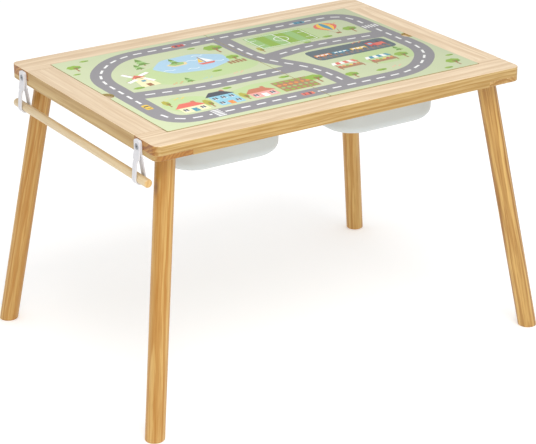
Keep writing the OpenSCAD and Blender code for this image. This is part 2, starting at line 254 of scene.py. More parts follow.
class Finish:
    """A node material. add() makes every node, and the other methods name common uses of it."""

    def __init__(self, name):
        self.material = bpy.data.materials.new(name)
        self.material.use_nodes = True
        self.tree = self.material.node_tree
        self.tree.nodes.clear()

    def add(self, kind, settings=None, inputs=None, output=0):
        """Adds one node: its settings first, then the values or links of its sockets."""
        node = self.tree.nodes.new(kind)
        for name, value in (settings or {}).items():
            setattr(node, name, value)
        for name, value in (inputs or {}).items():
            socket = node.inputs[name]
            if isinstance(value, Signal):
                self.tree.links.new(value.socket, socket)
            elif socket.type == "RGBA":
                socket.default_value = (*tuple(value)[:3], 1.0)
            else:
                socket.default_value = value
        return Signal(self, node.outputs[output]) if len(node.outputs) else node

    def mix(self, share, low, high, blend="MIX"):
        """Blends two colours."""
        settings = {"data_type": "RGBA", "blend_type": blend, "clamp_factor": True}
        return self.add("ShaderNodeMix", settings, {0: share, 6: low, 7: high}, 2)

    def vectors(self, operation, *values, output=0):
        """Arithmetic on vectors."""
        settings = {"operation": operation}
        return self.add("ShaderNodeVectorMath", settings, dict(enumerate(values)), output)

    def noise(self, vector, scale, detail=3.0, roughness=0.5):
        """Cloudy noise between 0 and 1, round 0.5. The scale is one number, or three for the axes."""
        if isinstance(scale, tuple):
            vector, scale = self.vectors("MULTIPLY", vector, scale), 1.0
        return self.add("ShaderNodeTexNoise", None,
                        {"Vector": vector, "Scale": scale, "Detail": detail, "Roughness": roughness})

    def step(self, value, low, high):
        """Rises smoothly from 0 at low to 1 at high."""
        return self.add("ShaderNodeMapRange", {"interpolation_type": "SMOOTHSTEP"},
                        {"Value": value, "From Min": low, "From Max": high})

    def attribute(self, name, output):
        """A value that is stored on the piece's own mesh."""
        return self.add("ShaderNodeAttribute", {"attribute_name": name}, output=output)

    def place(self):
        """Object coordinates, in metres."""
        return self.add("ShaderNodeTexCoord", output="Object")

    def surface(self, height, depth, **inputs):
        """Ends in a Principled shader, with a bump whose height from 0 to 1 is depth metres."""
        inputs["Normal"] = self.add("ShaderNodeBump", None, {"Height": height, "Distance": depth})
        named = {name.replace("_", " "): value for name, value in inputs.items()}
        shader = self.add("ShaderNodeBsdfPrincipled", None, named)
        self.add("ShaderNodeOutputMaterial", None, {"Surface": shader})
        return self.material


def softwood(name, pale, dark, ring_gap, contrast, fibre=0.8, end_tint=END_GRAIN_TINT, knots=()):
    """Varnished softwood, read from the mesh's grain attribute: along, across and through.

    Rings are cylinders round the pith, radius = length(across, through), bent by slow noise.
    Each ring goes from pale to dark and sharply back, and its strength differs from its
    neighbours'. Fine fibres run along the grain. A knot bends the rings round its centre and
    darkens. Faces marked end_grain are redder, and faces marked upper get a painted highlight:
    they are made paler and whiter, for the light and sheen that level tops catch.
    """
    wood = Finish(name)
    grain = wood.attribute("grain", "Vector")

    def grained(along, across, detail, roughness=0.5):
        """Noise with this many swells to the metre along the grain and across it."""
        return wood.noise(grain, (along, across, across), detail, roughness)

    across, through = (wood.add("ShaderNodeSeparateXYZ", None, {0: grain}, axis) for axis in (1, 2))
    sway = grained(2.2, 14.0, 3.0, 0.55) - 0.5
    shiver = grained(9.0, 160.0, 2.0) - 0.5
    radius = (across * across + through * through) ** 0.5 + sway * RING_SWAY + shiver * RING_SHIVER
    knot_dark = 0.0
    for centre, reach in knots:
        offset = wood.vectors("SUBTRACT", wood.place(), centre)
        offset = wood.vectors("MULTIPLY", offset, (1.0, 1.0, KNOT_SQUASH))
        gap = wood.vectors("LENGTH", offset, output=1)
        near = 1.0 - wood.step(gap, 0.0, reach * 2.8)
        radius = radius + near * near * (reach * 0.4)
        knot_dark = (1.0 - wood.step(gap + sway * reach, 0.0, reach * 1.1)) + knot_dark
    ring = radius / ring_gap + grained(0.4, 40.0, 1.0) * 2.0
    phase = ring.fract()
    summer = wood.step(phase, 0.16, 0.78) * (1.0 - wood.step(phase, 0.86, 1.0))
    strength = wood.add("ShaderNodeTexWhiteNoise", {"noise_dimensions": "1D"}, {"W": ring.floor()})
    bands = grained(1.3, 55.0, 2.0)
    streaks = grained(11.0, 330.0, 3.0, 0.6)
    fibres = grained(18.0, 640.0, 3.0, 0.62)
    middle = tuple(0.70 * a + 0.30 * b for a, b in zip(pale, dark))
    tint = wood.mix(wood.step(bands, 0.35, 0.66), pale, middle)
    end = wood.attribute("end_grain", "Fac")
    tint = wood.mix(summer * (strength * 0.65 + 0.35 + end * 0.5) * contrast, tint, dark)
    tint = wood.mix(wood.step(streaks, 0.46, 0.64) * (0.5 * fibre), tint, dark)
    tint = wood.mix((fibres - 0.46) * fibre, tint, shade(dark, 0.72))
    if knots:
        tint = wood.mix(knot_dark, tint, KNOT_TINT)
    tint = wood.mix(end, tint, wood.mix(1.0, tint, end_tint, "MULTIPLY"))
    # Painted highlight: level upper faces are made paler and whiter, for the light and sheen they catch
    top_highlight = wood.mix(TOP_HIGHLIGHT_SHARE, wood.mix(1.0, tint, TOP_HIGHLIGHT_GAIN, "MULTIPLY"), TOP_HIGHLIGHT_TINT)
    tint = wood.mix(wood.attribute("upper", "Fac"), tint, top_highlight)
    return wood.surface(fibres * 0.6 - summer * 0.4, 0.00012, Base_Color=tint,
                        Roughness=fibres * 0.16 + bands * 0.08 + 0.36,
                        Coat_Weight=0.25, Coat_Roughness=0.35)


def printed_film():
    """Matt film in the colours of the mesh's ink attribute, with a fine tooth."""
    film = Finish("printed_film")
    place = film.place()
    tooth = film.noise(place, 2600.0, 2.0)
    cloud = film.noise(place, 18.0)
    tint = film.mix((cloud - 0.5) * 0.2 + (tooth - 0.5) * 0.16 + 0.03,
                    film.attribute("ink", "Color"), FILM_HAZE)
    return film.surface(tooth, 0.00003, Base_Color=tint, Roughness=cloud * 0.10 + 0.42)


def fibreboard(tint):
    """Pressed fibre: short flat specks on an even brown."""
    board = Finish("fibreboard")
    specks = board.noise(board.place(), (500.0, 500.0, 1800.0), 3.0, 0.7)
    body = board.mix(board.step(specks, 0.30, 0.72), shade(tint, 0.76), shade(tint, 1.08))
    return board.surface(specks, 0.0001, Base_Color=body, Roughness=specks * 0.1 + 0.72)


def backing_film(tint):
    """Plain pale film under the boards, faintly mottled."""
    film = Finish("backing_film")
    cloud = film.noise(film.place(), 160.0)
    body = film.mix(cloud, shade(tint, 0.94), tint)
    return film.surface(cloud, 0.00004, Base_Color=body, Roughness=cloud * 0.1 + 0.48)


def moulded_plastic(tint):
    """Milky moulded plastic: soft gloss, faint flow marks and a frosted skin."""
    plastic = Finish("moulded_plastic")
    flow = plastic.noise(plastic.place(), (9.0, 9.0, 26.0), 3.0, 0.6)
    frost = plastic.noise(plastic.place(), 900.0, 2.0)
    body = plastic.mix(flow, shade(tint, 0.95), shade(tint, 1.03))
    return plastic.surface(frost, 0.00003, Base_Color=body, Roughness=flow * 0.12 + frost * 0.06 + 0.34)


def coated_strap(tint):
    """Pale coated strap with a pebbled, lightly creased skin."""
    strap = Finish("coated_strap")
    pebble = strap.add("ShaderNodeTexVoronoi", {"feature": "SMOOTH_F1"},
                       {"Vector": strap.place(), "Scale": 1500.0})
    crease = strap.noise(strap.place(), 240.0)
    body = strap.mix(crease * 0.5 + pebble * 0.3, tint, shade(tint, 0.86))
    return strap.surface(pebble * 0.6 + crease, 0.0001, Base_Color=body, Roughness=crease * 0.15 + 0.42)


def plated_steel():
    """Dull zinc-plated steel, brushed and slightly clouded."""
    steel = Finish("plated_steel")
    brush = steel.noise(steel.place(), (400.0, 2400.0, 2400.0))
    body = steel.mix(steel.noise(steel.place(), 500.0, 2.0), *STEEL_TINTS)
    return steel.surface(brush, 0.00002, Base_Color=body, Metallic=1.0, Roughness=brush * 0.2 + 0.26)


def floor_paint(tint, glow):
    """Matt pale floor with the faintest cloud, which gives off a little light."""
    paint = Finish("floor_paint")
    cloud = paint.noise(paint.place(), 1.5, 2.0)
    return paint.surface(cloud, 0.0001, Base_Color=paint.mix(cloud, tint, shade(tint, 0.985)),
                         Roughness=0.9, Specular_IOR_Level=0.2,
                         Emission_Color=(1.0, 1.0, 1.0), Emission_Strength=glow)


# ------------------------------------------------------------------ meshes

def unit(vectors):
    """Vectors brought to length 1."""
    return vectors / np.linalg.norm(vectors, axis=-1, keepdims=True)


def circle(count):
    """Points evenly spaced round the circle of radius 1, anticlockwise from +x."""
    turn = np.linspace(0.0, 2 * np.pi, count, endpoint=False)
    return np.stack([np.cos(turn), np.sin(turn)], -1)


def read(items, name, kind, width):
    """One attribute of all of a mesh's items as an array."""
    flat = np.zeros(len(items) * width, kind)
    items.foreach_get(name, flat)
    return flat.reshape(-1, width) if width > 1 else flat


def store(mesh, name, kind, domain, values):
    """Writes an array into a new attribute of a mesh."""
    layer = mesh.attributes.new(name, kind, domain)
    field = {"FLOAT": "value", "FLOAT_VECTOR": "vector", "FLOAT_COLOR": "color"}[kind]
    layer.data.foreach_set(field, np.ascontiguousarray(values, np.float32).ravel())


def link(name, data):
    """Adds an object to the scene that shows a mesh, a lamp or a camera."""
    item = bpy.data.objects.new(name, data)
    bpy.context.scene.collection.objects.link(item)
    return item


def add_piece(name, mesh, materials, body, node):
    """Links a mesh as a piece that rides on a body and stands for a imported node."""
    piece = link(name, mesh)
    for material in materials:
        mesh.materials.append(material)
    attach(piece, body)
    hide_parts(node)


def smooth(mesh):
    """Smooth shading, with a sharp edge where faces meet at more than CREASE."""
    mesh.shade_smooth()
    mesh.set_sharp_from_angle(angle=math.radians(CREASE))


def grid_mesh(name, rings, ring_closed=False):
    """Mesh of a grid of points: rings[i, j] joins its neighbours, and every ring closes in j.

    The last ring joins the first if ring_closed, as on a torus, and otherwise the first and the
    last ring are each closed by one face.
    """
    count, around = rings.shape[:2]
    index = np.arange(count * around).reshape(count, around)
    near, far = (index, np.roll(index, -1, 0)) if ring_closed else (index[:-1], index[1:])
    quads = np.stack([near, np.roll(near, -1, 1), np.roll(far, -1, 1), far], -1)
    faces = quads.reshape(-1, 4).tolist()
    if not ring_closed:
        faces += [index[0, ::-1].tolist(), index[-1].tolist()]
    mesh = bpy.data.meshes.new(name)
    mesh.from_pydata(rings.reshape(-1, 3).tolist(), [], faces)
    work = bmesh.new()
    work.from_mesh(mesh)
    bmesh.ops.remove_doubles(work, verts=work.verts, dist=1e-7)
    bmesh.ops.recalc_face_normals(work, faces=work.faces)
    work.to_mesh(mesh)
    work.free()
    smooth(mesh)
    return mesh


def quarter(radius, steps=6):
    """A quarter circle from a floor up to a wall: the way still to go to the wall, and the height."""
    turn = np.linspace(0.0, np.pi / 2, steps)
    return radius * (1 - np.sin(turn)), radius * (1 - np.cos(turn))


def revolve(name, profile, centre, axis, ring_closed=False):
    """Turns a profile of (radius, height) rows: centre + height * axis + radius * spoke."""
    axis = np.array(axis, float)
    side = unit(np.cross(axis, (0.0, 0.6, 0.8)))
    spokes = circle(64) @ np.stack([side, np.cross(axis, side)])
    radius, height = np.array(profile, float).T[:, :, None, None]
    return grid_mesh(name, np.array(centre) + height * axis + radius * spokes, ring_closed)


def round_box(half_x, half_y, radius, steps):
    """Outlines of rectangles with round corners, anticlockwise. Sizes may be arrays, one for each."""
    turn = np.linspace(0.0, np.pi / 2, steps) + np.arange(4)[:, None] * np.pi / 2
    sign_x, sign_y = np.array([(1, -1, -1, 1), (1, 1, -1, -1)])[..., None]
    half_x, half_y, radius = (np.atleast_1d(a)[:, None, None] for a in (half_x, half_y, radius))
    x = sign_x * (half_x - radius) + radius * np.cos(turn)
    y = sign_y * (half_y - radius) + radius * np.sin(turn)
    return np.stack([x, y], -1).reshape(len(x), -1, 2)


def lay_grain(mesh, along, through, pith, end_share=1.0):
    """Stores where each point lies in its tree, in metres: along, across and through, from the pith.

    grain = (p . along, p . across, p . through) + pith. end_grain rises to end_share on faces that
    cut across the grain.
    """
    along = unit(np.array(along, float))
    through = unit(through - np.dot(through, along) * along)
    axes = np.stack([along, np.cross(through, along), through])
    store(mesh, "grain", "FLOAT_VECTOR", "POINT", read(mesh.vertices, "co", float, 3) @ axes.T + pith)
    normals = read(mesh.polygons, "normal", float, 3)
    cut = np.clip(2.0 * np.abs(normals @ along) - 0.9, 0.0, 1.0)
    store(mesh, "end_grain", "FLOAT", "FACE", end_share * cut)


# Edges whose sine is less than this aren't sharp enough to be rounded over
LEAST_SINE = 0.6


def edges_of(mesh):
    """The two ends of each edge, and how sharply it points outwards.

    An edge walked along d, with the face of normal n on its left and that of m on its right,
    points outwards where (n x m) . d is above zero, and that is the sine of its angle.
    """
    points = read(mesh.vertices, "co", float, 3)
    normals = read(mesh.polygons, "normal", float, 3)
    start, total = (read(mesh.polygons, name, np.int32, 1) for name in ("loop_start", "loop_total"))
    face = np.repeat(np.arange(len(total)), total)
    following = np.arange(len(face)) + 1
    following[start + total - 1] = start
    corner = read(mesh.loops, "vertex_index", np.int32, 1)
    pairs = np.argsort(read(mesh.loops, "edge_index", np.int32, 1), kind="stable").reshape(-1, 2)
    low, high = points[corner[pairs[:, 0]]], points[corner[following[pairs[:, 0]]]]
    bend = np.cross(normals[face[pairs[:, 0]]], normals[face[pairs[:, 1]]])
    return low, high, (bend * unit(high - low)).sum(1)


def eased_copy(node, radius_of):
    """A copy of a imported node, merged, with its sharp outward edges rounded over.

    radius_of(low, high) gives each edge's radius from the arrays of its two ends.
    """
    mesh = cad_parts[node].data.copy()
    mesh.materials.clear()
    work = bmesh.new()
    work.from_mesh(mesh)
    bmesh.ops.remove_doubles(work, verts=work.verts, dist=1e-6)
    bmesh.ops.dissolve_limit(work, angle_limit=math.radians(0.5), verts=work.verts, edges=work.edges)
    work.to_mesh(mesh)
    work.free()
    low, high, sine = edges_of(mesh)
    radii = np.where(sine > LEAST_SINE, radius_of(low, high), 0.0)
    store(mesh, "bevel_weight_edge", "FLOAT", "EDGE", radii / radii.max())
    smooth(mesh)
    blank = link(node + "_blank", mesh)
    bevel = blank.modifiers.new("ease", "BEVEL")
    bevel.limit_method = "WEIGHT"
    bevel.width = radii.max()
    bevel.segments = 3
    bevel.harden_normals = True
    eased = blank.evaluated_get(bpy.context.evaluated_depsgraph_get())
    eased = bpy.data.meshes.new_from_object(eased)
    bpy.data.objects.remove(blank)
    return eased


# ------------------------------------------------------------------ frame boards

# Each board's place in its tree: a first number that keeps boards apart, and then the pith's, which
# runs at y = -second in boards along X, at x = second in those along Y, and at z = -third in both
BOARD_PITH = {
    "front_rail": (0.3, 0.262, -0.395),
    "back_rail": (1.9, -0.190, -0.400),
    "left_end_board": (3.1, -0.260, -0.400),
    "right_end_board": (4.7, 0.300, -0.392),
    "centre_rail": (6.0, 0.050, -0.540),
    "front_left_cleat": (7.1, 0.200, -0.500),
    "front_right_cleat": (8.3, 0.210, -0.520),
    "back_left_cleat": (9.2, -0.160, -0.500),
    "back_right_cleat": (10.4, -0.150, -0.530),
    "left_cleat": (11.5, -0.250, -0.500),
    "right_cleat": (12.9, 0.250, -0.510),
}
OUTER_BOARDS = ("front_rail", "back_rail", "left_end_board", "right_end_board")
# How strongly the end grain shows on a board where it is faint
FAINT_END_GRAIN = {"right_end_board": 0.35}
# Faces whose normals rise more than this are upper faces, which the wood gives a painted highlight
UPPER_SLOPE = 0.7
# Inside the frame, only edges longer than this are rounded over
SHORT_EDGE = 0.012
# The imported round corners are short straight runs, which miss the true curve by less than this
ROUND_MISS = 5e-5
# The laps: an end board's tongue is this thick, and the rail over it is as wide as the board
TONGUE = 0.009
LAP_Z = END_LOW[2] + TONGUE
SEAM_Y = HALF_Y - (END_HIGH - END_LOW)[0]


def on_outline(points, corner_radius):
    """True where points lie on the outline of the top: its distance to a round-cornered box is zero."""
    reach = np.abs(points[:, :2]) - (HALF_X, HALF_Y) + corner_radius
    outside = np.linalg.norm(np.maximum(reach, 0.0), axis=1)
    return np.abs(outside + np.minimum(reach.max(1), 0.0) - corner_radius) < ROUND_MISS


def seams_at(points):
    """True where points lie in a plane in which a rail meets an end board: side, step and end."""
    x, y, z = np.abs(points).T
    side = (np.abs(y - SEAM_Y) < TOUCH) & (x > INNER_X - TOUCH) & (z > LAP_Z - TOUCH)
    step = (np.abs(z - LAP_Z) < TOUCH) & (x > INNER_X - TOUCH)
    end = (np.abs(x - INNER_X) < TOUCH) & (y > SEAM_Y - TOUCH) & (z < LAP_Z + TOUCH)
    return side, step, end


def make_boards(sizes):
    """Frame boards, centre rail and cleats, each with its own grain."""

    def radius_of(low, high):
        """The outer edges of the frame, then long edges inside it, then what meets in a joint."""
        rim = on_outline(low, sizes.corner_radius) & on_outline(high, sizes.corner_radius)
        level = np.abs(low[:, 2] - high[:, 2]) < TOUCH
        face = (low[:, 2] > TOP_Z - TOUCH) | (low[:, 2] < UNDER_Z + TOUCH)
        long = np.linalg.norm(low - high, axis=1) > SHORT_EDGE
        seam = np.any([a & b for a, b in zip(seams_at(low), seams_at(high))], axis=0)
        radii = np.where(long, sizes.inner_edge, 0.0)
        radii = np.where(rim & level & face, sizes.outer_edge, radii)
        return np.where(seam, np.where(long | rim, sizes.seam_edge, 0.0), radii)

    wood = sizes.frame_pale, sizes.frame_dark, sizes.ring_gap
    outside = softwood("frame_pine", *wood, contrast=0.78, fibre=1.0)
    inside = softwood("inner_pine", *wood, contrast=0.5)
    # The left end board's pine has calmer grain, and its pale wood is darker by painted shade, for the
    # shade its outer left face stands in
    plain = softwood("plain_pine_painted_shade", shade(sizes.frame_pale, 0.95), *wood[1:], contrast=0.45)
    for node, pith in BOARD_PITH.items():
        mesh = eased_copy(node, radius_of)
        low, high = box_of(node)
        longest = np.eye(3)[(high - low).argmax()]
        lay_grain(mesh, longest, (0, 0, 1), pith, FAINT_END_GRAIN.get(node, 1.0))
        rise = read(mesh.polygons, "normal", float, 3)[:, 2]
        # Marks the upper faces for the wood's painted highlight
        store(mesh, "upper", "FLOAT", "FACE", rise > UPPER_SLOPE)
        outer = node in OUTER_BOARDS
        # The left end board takes the pine that is darkened by painted shade
        finish = plain if node == "left_end_board" else outside if outer else inside
        add_piece(node + "_wood", mesh, [finish], "frame", node)


# ------------------------------------------------------------------ legs

# Where the axis of a leg meets the frame and the floor, in plan, and the heights of its rings
LEG_HEAD = np.array([0.309, 0.205])
LEG_FOOT = np.array([0.377, 0.265])
LEG_RINGS = np.linspace(0.02, UNDER_Z, 12)
# How far the axis of a leg lies from the pith of its tree, across and through
LEG_PITH = (0.012, -0.042)
# Each leg's corner of the table, where along its tree it starts, how its rings are turned, its
# knots, how light its pale and its dark wood are, and how strongly they differ
LEGS = {
    "front_left_leg": ((-1, -1), 13.0, 0.9, [((-0.3375, -0.2155, 0.4030), 0.0085)], 1.0, 1.0, 0.75),
    # The front right leg's summer wood is darker partly as painted shade, for the shade that leg stands
    # in, and partly for its own stronger grain
    "front_right_leg": ((1, -1), 14.7, 2.9, [], 1.05, 0.78, 1.35),
    "back_left_leg": ((-1, 1), 16.4, 4.1, [], 1.0, 1.0, 0.75),
    "back_right_leg": ((1, 1), 18.1, 5.3, [], 1.0, 1.0, 0.75),
}


def make_legs(sizes):
    """Four splayed round legs, cut level at both ends.

    A ring of radius r at height z is foot + s * axis + r * (cos t * u + sin t * v), where s is
    chosen for each t so that the point's height is z.
    """
    inset, rise = quarter(sizes.foot_edge)
    height = np.concatenate([rise, LEG_RINGS])
    radius = sizes.leg_radius - np.concatenate([inset, np.zeros(len(LEG_RINGS))])
    for name, (signs, start, facing, knots, pale, dark, contrast) in LEGS.items():
        foot = np.array([*(LEG_FOOT * signs), 0.0])
        head = np.array([*(LEG_HEAD * signs), UNDER_Z])
        axis = unit(head - foot)
        u = unit(np.cross(axis, (0.0, 0.0, 1.0)))
        v = np.cross(axis, u)
        spoke = radius[:, None, None] * (circle(96) @ np.stack([u, v]))
        slide = (height[:, None] - spoke[..., 2]) / axis[2]
        mesh = grid_mesh(name, foot + slide[..., None] * axis + spoke)
        through = math.cos(facing) * u + math.sin(facing) * v
        across = np.cross(through, axis)
        pith = (start, LEG_PITH[0] - head @ across, LEG_PITH[1] - head @ through)
        lay_grain(mesh, axis, through, pith)
        wood = softwood(name.replace("leg", "leg_pine"), shade(sizes.leg_pale, pale),
                        shade(sizes.leg_dark, dark), sizes.leg_ring_gap, contrast, fibre=1.1,
                        knots=knots)
        add_piece(name + "_wood", mesh, [wood], "frame", name)


# ------------------------------------------------------------------ bins

# Width of the flat border of a bin's floor, before the floor turns up into the wall
FLOOR_BORDER = 0.004
# How much of what the body shrinks by goes off the radius of its corners too
CORNER_SHARE = 0.6


def make_bins(sizes):
    """Two hanging bins, each one closed shell: out under the floor, up, over the rim and back inside.

    Every level is a round-cornered rectangle shrunk by s: half sizes less s, and corner radius
    less CORNER_SHARE * s on the body or less s on the rim. Walls lean in with depth.
    """
    rim_top = BIN_HIGH[2]
    under_rim = rim_top - sizes.rim_thickness
    half_x, half_y = (BIN_HIGH - BIN_LOW)[:2] / 2 - sizes.rim_width

    def bowl(inset):
        """Shrinkage and height from the floor up, at an inset from the outer wall."""
        to_go, rise = quarter(sizes.floor_radius - inset, 12)
        to_go = np.concatenate([to_go[:1] + FLOOR_BORDER, to_go])
        z = BIN_LOW[2] + inset + np.concatenate([rise[:1], rise])
        return to_go + inset + sizes.draft * (under_rim - z) / (under_rim - BIN_LOW[2]), z

    lip_in, lip_up = quarter(sizes.lip)
    edge = np.linspace(-np.pi / 2, np.pi / 2, 9)
    half_rim = sizes.rim_thickness / 2
    outer, inner = bowl(0.0), bowl(sizes.wall)
    s = np.concatenate([outer[0], -lip_up, half_rim - sizes.rim_width - half_rim * np.cos(edge),
                        sizes.wall - lip_in, inner[0][::-1]])
    z = np.concatenate([outer[1], under_rim - lip_in, under_rim + half_rim * (1 + np.sin(edge)),
                        rim_top - lip_up, inner[1][::-1]])
    corner = sizes.corner_radius - np.where(s > 0, CORNER_SHARE, 1.0) * s
    outline = round_box(half_x - s, half_y - s, corner, 16)
    height = np.broadcast_to(z[:, None, None], outline.shape[:2] + (1,))
    plastic = moulded_plastic(sizes.plastic)
    for side in ("left", "right"):
        low, high = box_of(side + "_bin")
        rings = np.concatenate([outline + ((low + high) / 2)[:2], height], -1)
        shell = grid_mesh(side + "_bin_shell", rings)
        add_piece(side + "_bin_shell", shell, [plastic], side + "_bin", side + "_bin")


# ------------------------------------------------------------------ picture on the boards

INK = {
    "meadow": (189, 210, 150), "lawn": (150, 192, 112), "leaf": (140, 178, 48),
    "moss": (104, 146, 48), "olive": (176, 170, 52), "bark": (158, 104, 58),
    "water": (170, 206, 228), "ripple": (240, 247, 250), "slate": (84, 98, 106),
    "steel": (120, 134, 142), "night": (60, 66, 80), "white": (250, 250, 246),
    "cream": (250, 234, 186), "sand": (236, 214, 158), "yellow": (246, 200, 62),
    "orange": (232, 140, 62), "coral": (226, 106, 88), "red": (205, 72, 66),
    "rose": (240, 168, 160), "teal": (66, 146, 172), "sky": (142, 200, 220),
    "brick": (198, 116, 82), "soil": (170, 124, 84),
}
# Width and length of a dash on the roads, and the gap to the next, in millimetres
DASH_WIDTH = 4.2
DASH_LENGTH = 17.0
DASH_GAP = 12.0


def rounded(corners, radius, closed=False):
    """A run of straight lines with curved corners.

    A corner p between directions u and v becomes (1-t)^2 (p - r u) + 2 t (1-t) p + t^2 (p + r v).
    """
    corners = np.array(corners, float)
    u, v = unit(corners - np.roll(corners, 1, 0)), unit(np.roll(corners, -1, 0) - corners)
    t = np.linspace(0.0, 1.0, 9)[None, :, None]
    start, end = (corners - radius * u)[:, None], (corners + radius * v)[:, None]
    curve = (1 - t) ** 2 * start + 2 * t * (1 - t) * corners[:, None] + t * t * end
    if closed:
        path = curve.reshape(-1, 2)
        return np.concatenate([path, path[:1]])
    return np.concatenate([corners[:1], curve[1:-1].reshape(-1, 2), corners[-1:]])


def beside(path, distance):
    """A path moved sideways: each point shifts along the mean normal of the runs that meet in it."""
    runs = unit(np.diff(path, axis=0))
    normal = np.stack([-runs[:, 1], runs[:, 0]], -1)
    return path + distance * unit(np.vstack([normal[:1], normal]) + np.vstack([normal, normal[-1:]]))


class Picture:
    """A flat picture in millimetres: closed outlines, each laid over those before it."""

    def __init__(self):
        self.outlines = []
        self.inks = []
        self.at(0, 0)

    def at(self, x, y, size=1.0, turn=0.0):
        """Puts the pen down: what follows is drawn from here, at this size and turned by degrees."""
        self.pen = (x, y, size, math.radians(turn))
        return self

    def shape(self, ink, points):
        """One closed outline."""
        x, y, size, turn = self.pen
        swing = np.array([[math.cos(turn), math.sin(turn)], [-math.sin(turn), math.cos(turn)]])
        points = np.array(points, float) @ swing * size + (x, y)
        following = np.roll(points, -1, 0)
        area = (points[:, 0] * following[:, 1] - points[:, 1] * following[:, 0]).sum()
        self.outlines.append(points if area > 0 else points[::-1])
        self.inks.append(linear(*INK[ink]) if isinstance(ink, str) else tuple(ink))

    def box(self, ink, left, low, width, height):
        """An upright rectangle from its lower left corner."""
        right, top = left + width, low + height
        self.shape(ink, [(left, low), (right, low), (right, top), (left, top)])

    def dot(self, ink, x, y, radius, corners):
        """A small disc."""
        self.shape(ink, circle(corners) * radius + (x, y))

    def cloud(self, ink, x, y, rx, ry, lobes, depth=0.14, corners=36):
        """A scalloped ellipse: its radius swells and dips once for each lobe."""
        turn = np.linspace(0.0, 2 * np.pi, corners, endpoint=False)
        swell = 1.0 - depth * np.abs(np.cos(lobes * turn / 2 + 0.4))
        self.shape(ink, circle(corners) * swell[:, None] * (rx, ry) + (x, y))

    def strip(self, ink, path, width):
        """A strip along a path."""
        path = np.array(path, float)
        self.shape(ink, np.concatenate([beside(path, width / 2), beside(path, -width / 2)[::-1]]))

    def dashes(self, ink, path, start, stop):
        """Short strips along a path, from start to stop short of its end."""
        travelled = np.append(0.0, np.cumsum(np.linalg.norm(np.diff(path, axis=0), axis=1)))
        first = np.arange(start, travelled[-1] - stop - DASH_LENGTH, DASH_LENGTH + DASH_GAP)
        low, high = (np.stack([np.interp(place, travelled, part) for part in path.T], -1)
                     for place in (first, first + DASH_LENGTH))
        run = unit(high - low)
        side = np.stack([-run[:, 1], run[:, 0]], -1) * DASH_WIDTH / 2
        for quad in np.stack([low - side, high - side, high + side, low + side], 1):
            self.shape(ink, quad)


def draw_tree(pic, x, y, size, leaf="leaf", tall=False):
    """A tree with a forked trunk, and a round or a tall crown."""
    pic.at(x, y, size)
    rx, ry, top = (8.0, 17.0, 24.0) if tall else (14.0, 11.0, 22.0)
    pic.cloud(leaf, 0, top, rx, ry, 7)
    pic.cloud("moss", rx * 0.3, top - ry * 0.35, rx * 0.5, ry * 0.4, 5)
    pic.shape("bark", [(-1.6, 0), (1.6, 0), (1.0, top), (0.2, top + 2), (-1.0, top)])
    pic.shape("bark", [(0, top * 0.42), (0.4, top * 0.62), (5.2, top * 0.94), (6.0, top * 0.86)])


def draw_fir(pic, x, y, size):
    """A fir of three tiers."""
    pic.at(x, y, size)
    pic.box("bark", -1.3, 0, 2.6, 6)
    for low, wide, ink in ((4, 10, "moss"), (12, 8, "lawn"), (20, 6, "moss")):
        pic.shape(ink, [(-wide, low), (wide, low), (0, low + 13)])


def draw_bush(pic, x, y, size):
    """A low bush."""
    pic.at(x, y, size)
    pic.cloud("leaf", 0, 3.4, 9.5, 4.4, 5)
    pic.cloud("moss", 3.2, 2.4, 3.4, 1.8, 5)


def draw_flowers(pic, x, y, ink):
    """Four small blooms."""
    pic.at(x, y)
    for dx, dy in ((-7, 0), (-1, 3), (5, -1), (10, 3)):
        pic.dot(ink, dx, dy, 1.9, 8)
        pic.dot("yellow", dx, dy, 0.8, 6)


def draw_window(pic, left, low):
    """A dark window with a white bar and a sill."""
    pic.box("night", left, low, 6.0, 7.5)
    pic.box("white", left + 2.6, low, 0.8, 7.5)
    pic.box("white", left - 0.8, low - 1.2, 7.6, 1.2)


def draw_house(pic, x, y, size, wall, roof, door, floors=1):
    """A house from the front: gable roof with a chimney, door and windows."""
    pic.at(x, y, size)
    storey = 18
    high = storey * floors
    pic.box("brick", 8, high + 6, 5, 12)
    pic.box(wall, -18, 0, 36, high)
    pic.shape(roof, [(-22, high), (22, high), (9, high + 15), (-9, high + 15)])
    pic.box(door, -4, 0, 8, 12)
    pic.dot("yellow", 2, 6, 0.9, 6)
    for floor in range(floors):
        for left in (-15, 9, -3) if floor else (-15, 9):
            draw_window(pic, left, 6 + storey * floor)


def draw_car(pic, x, y, turn, body):
    """A car from above: body, cabin, glass and lamps."""
    pic.at(x, y, 1.0, turn)
    pic.shape(body, [(-11, -5), (-9, -6), (9, -6), (12, -4), (12, 4), (9, 6), (-9, 6), (-11, 5)])
    pic.shape("night", [(-7, -4.6), (4.5, -4.6), (6.5, -3.4), (6.5, 3.4), (4.5, 4.6), (-7, 4.6)])
    pic.shape(body, [(-5, -4), (2, -4), (2, 4), (-5, 4)])
    for low in (-4.4, 2.4):
        pic.box("yellow", 10.4, low, 1.6, 2.0)


def draw_boat(pic, x, y, size):
    """A small sailing boat."""
    pic.at(x, y, size)
    pic.shape("coral", [(-10, 3), (11, 3), (7, -2), (-7, -2)])
    pic.box("bark", -0.6, 3, 1.2, 20)
    pic.shape("white", [(1.4, 5), (10, 5), (1.4, 22)])
    pic.shape("yellow", [(-1.4, 6), (-8, 6), (-1.4, 19)])


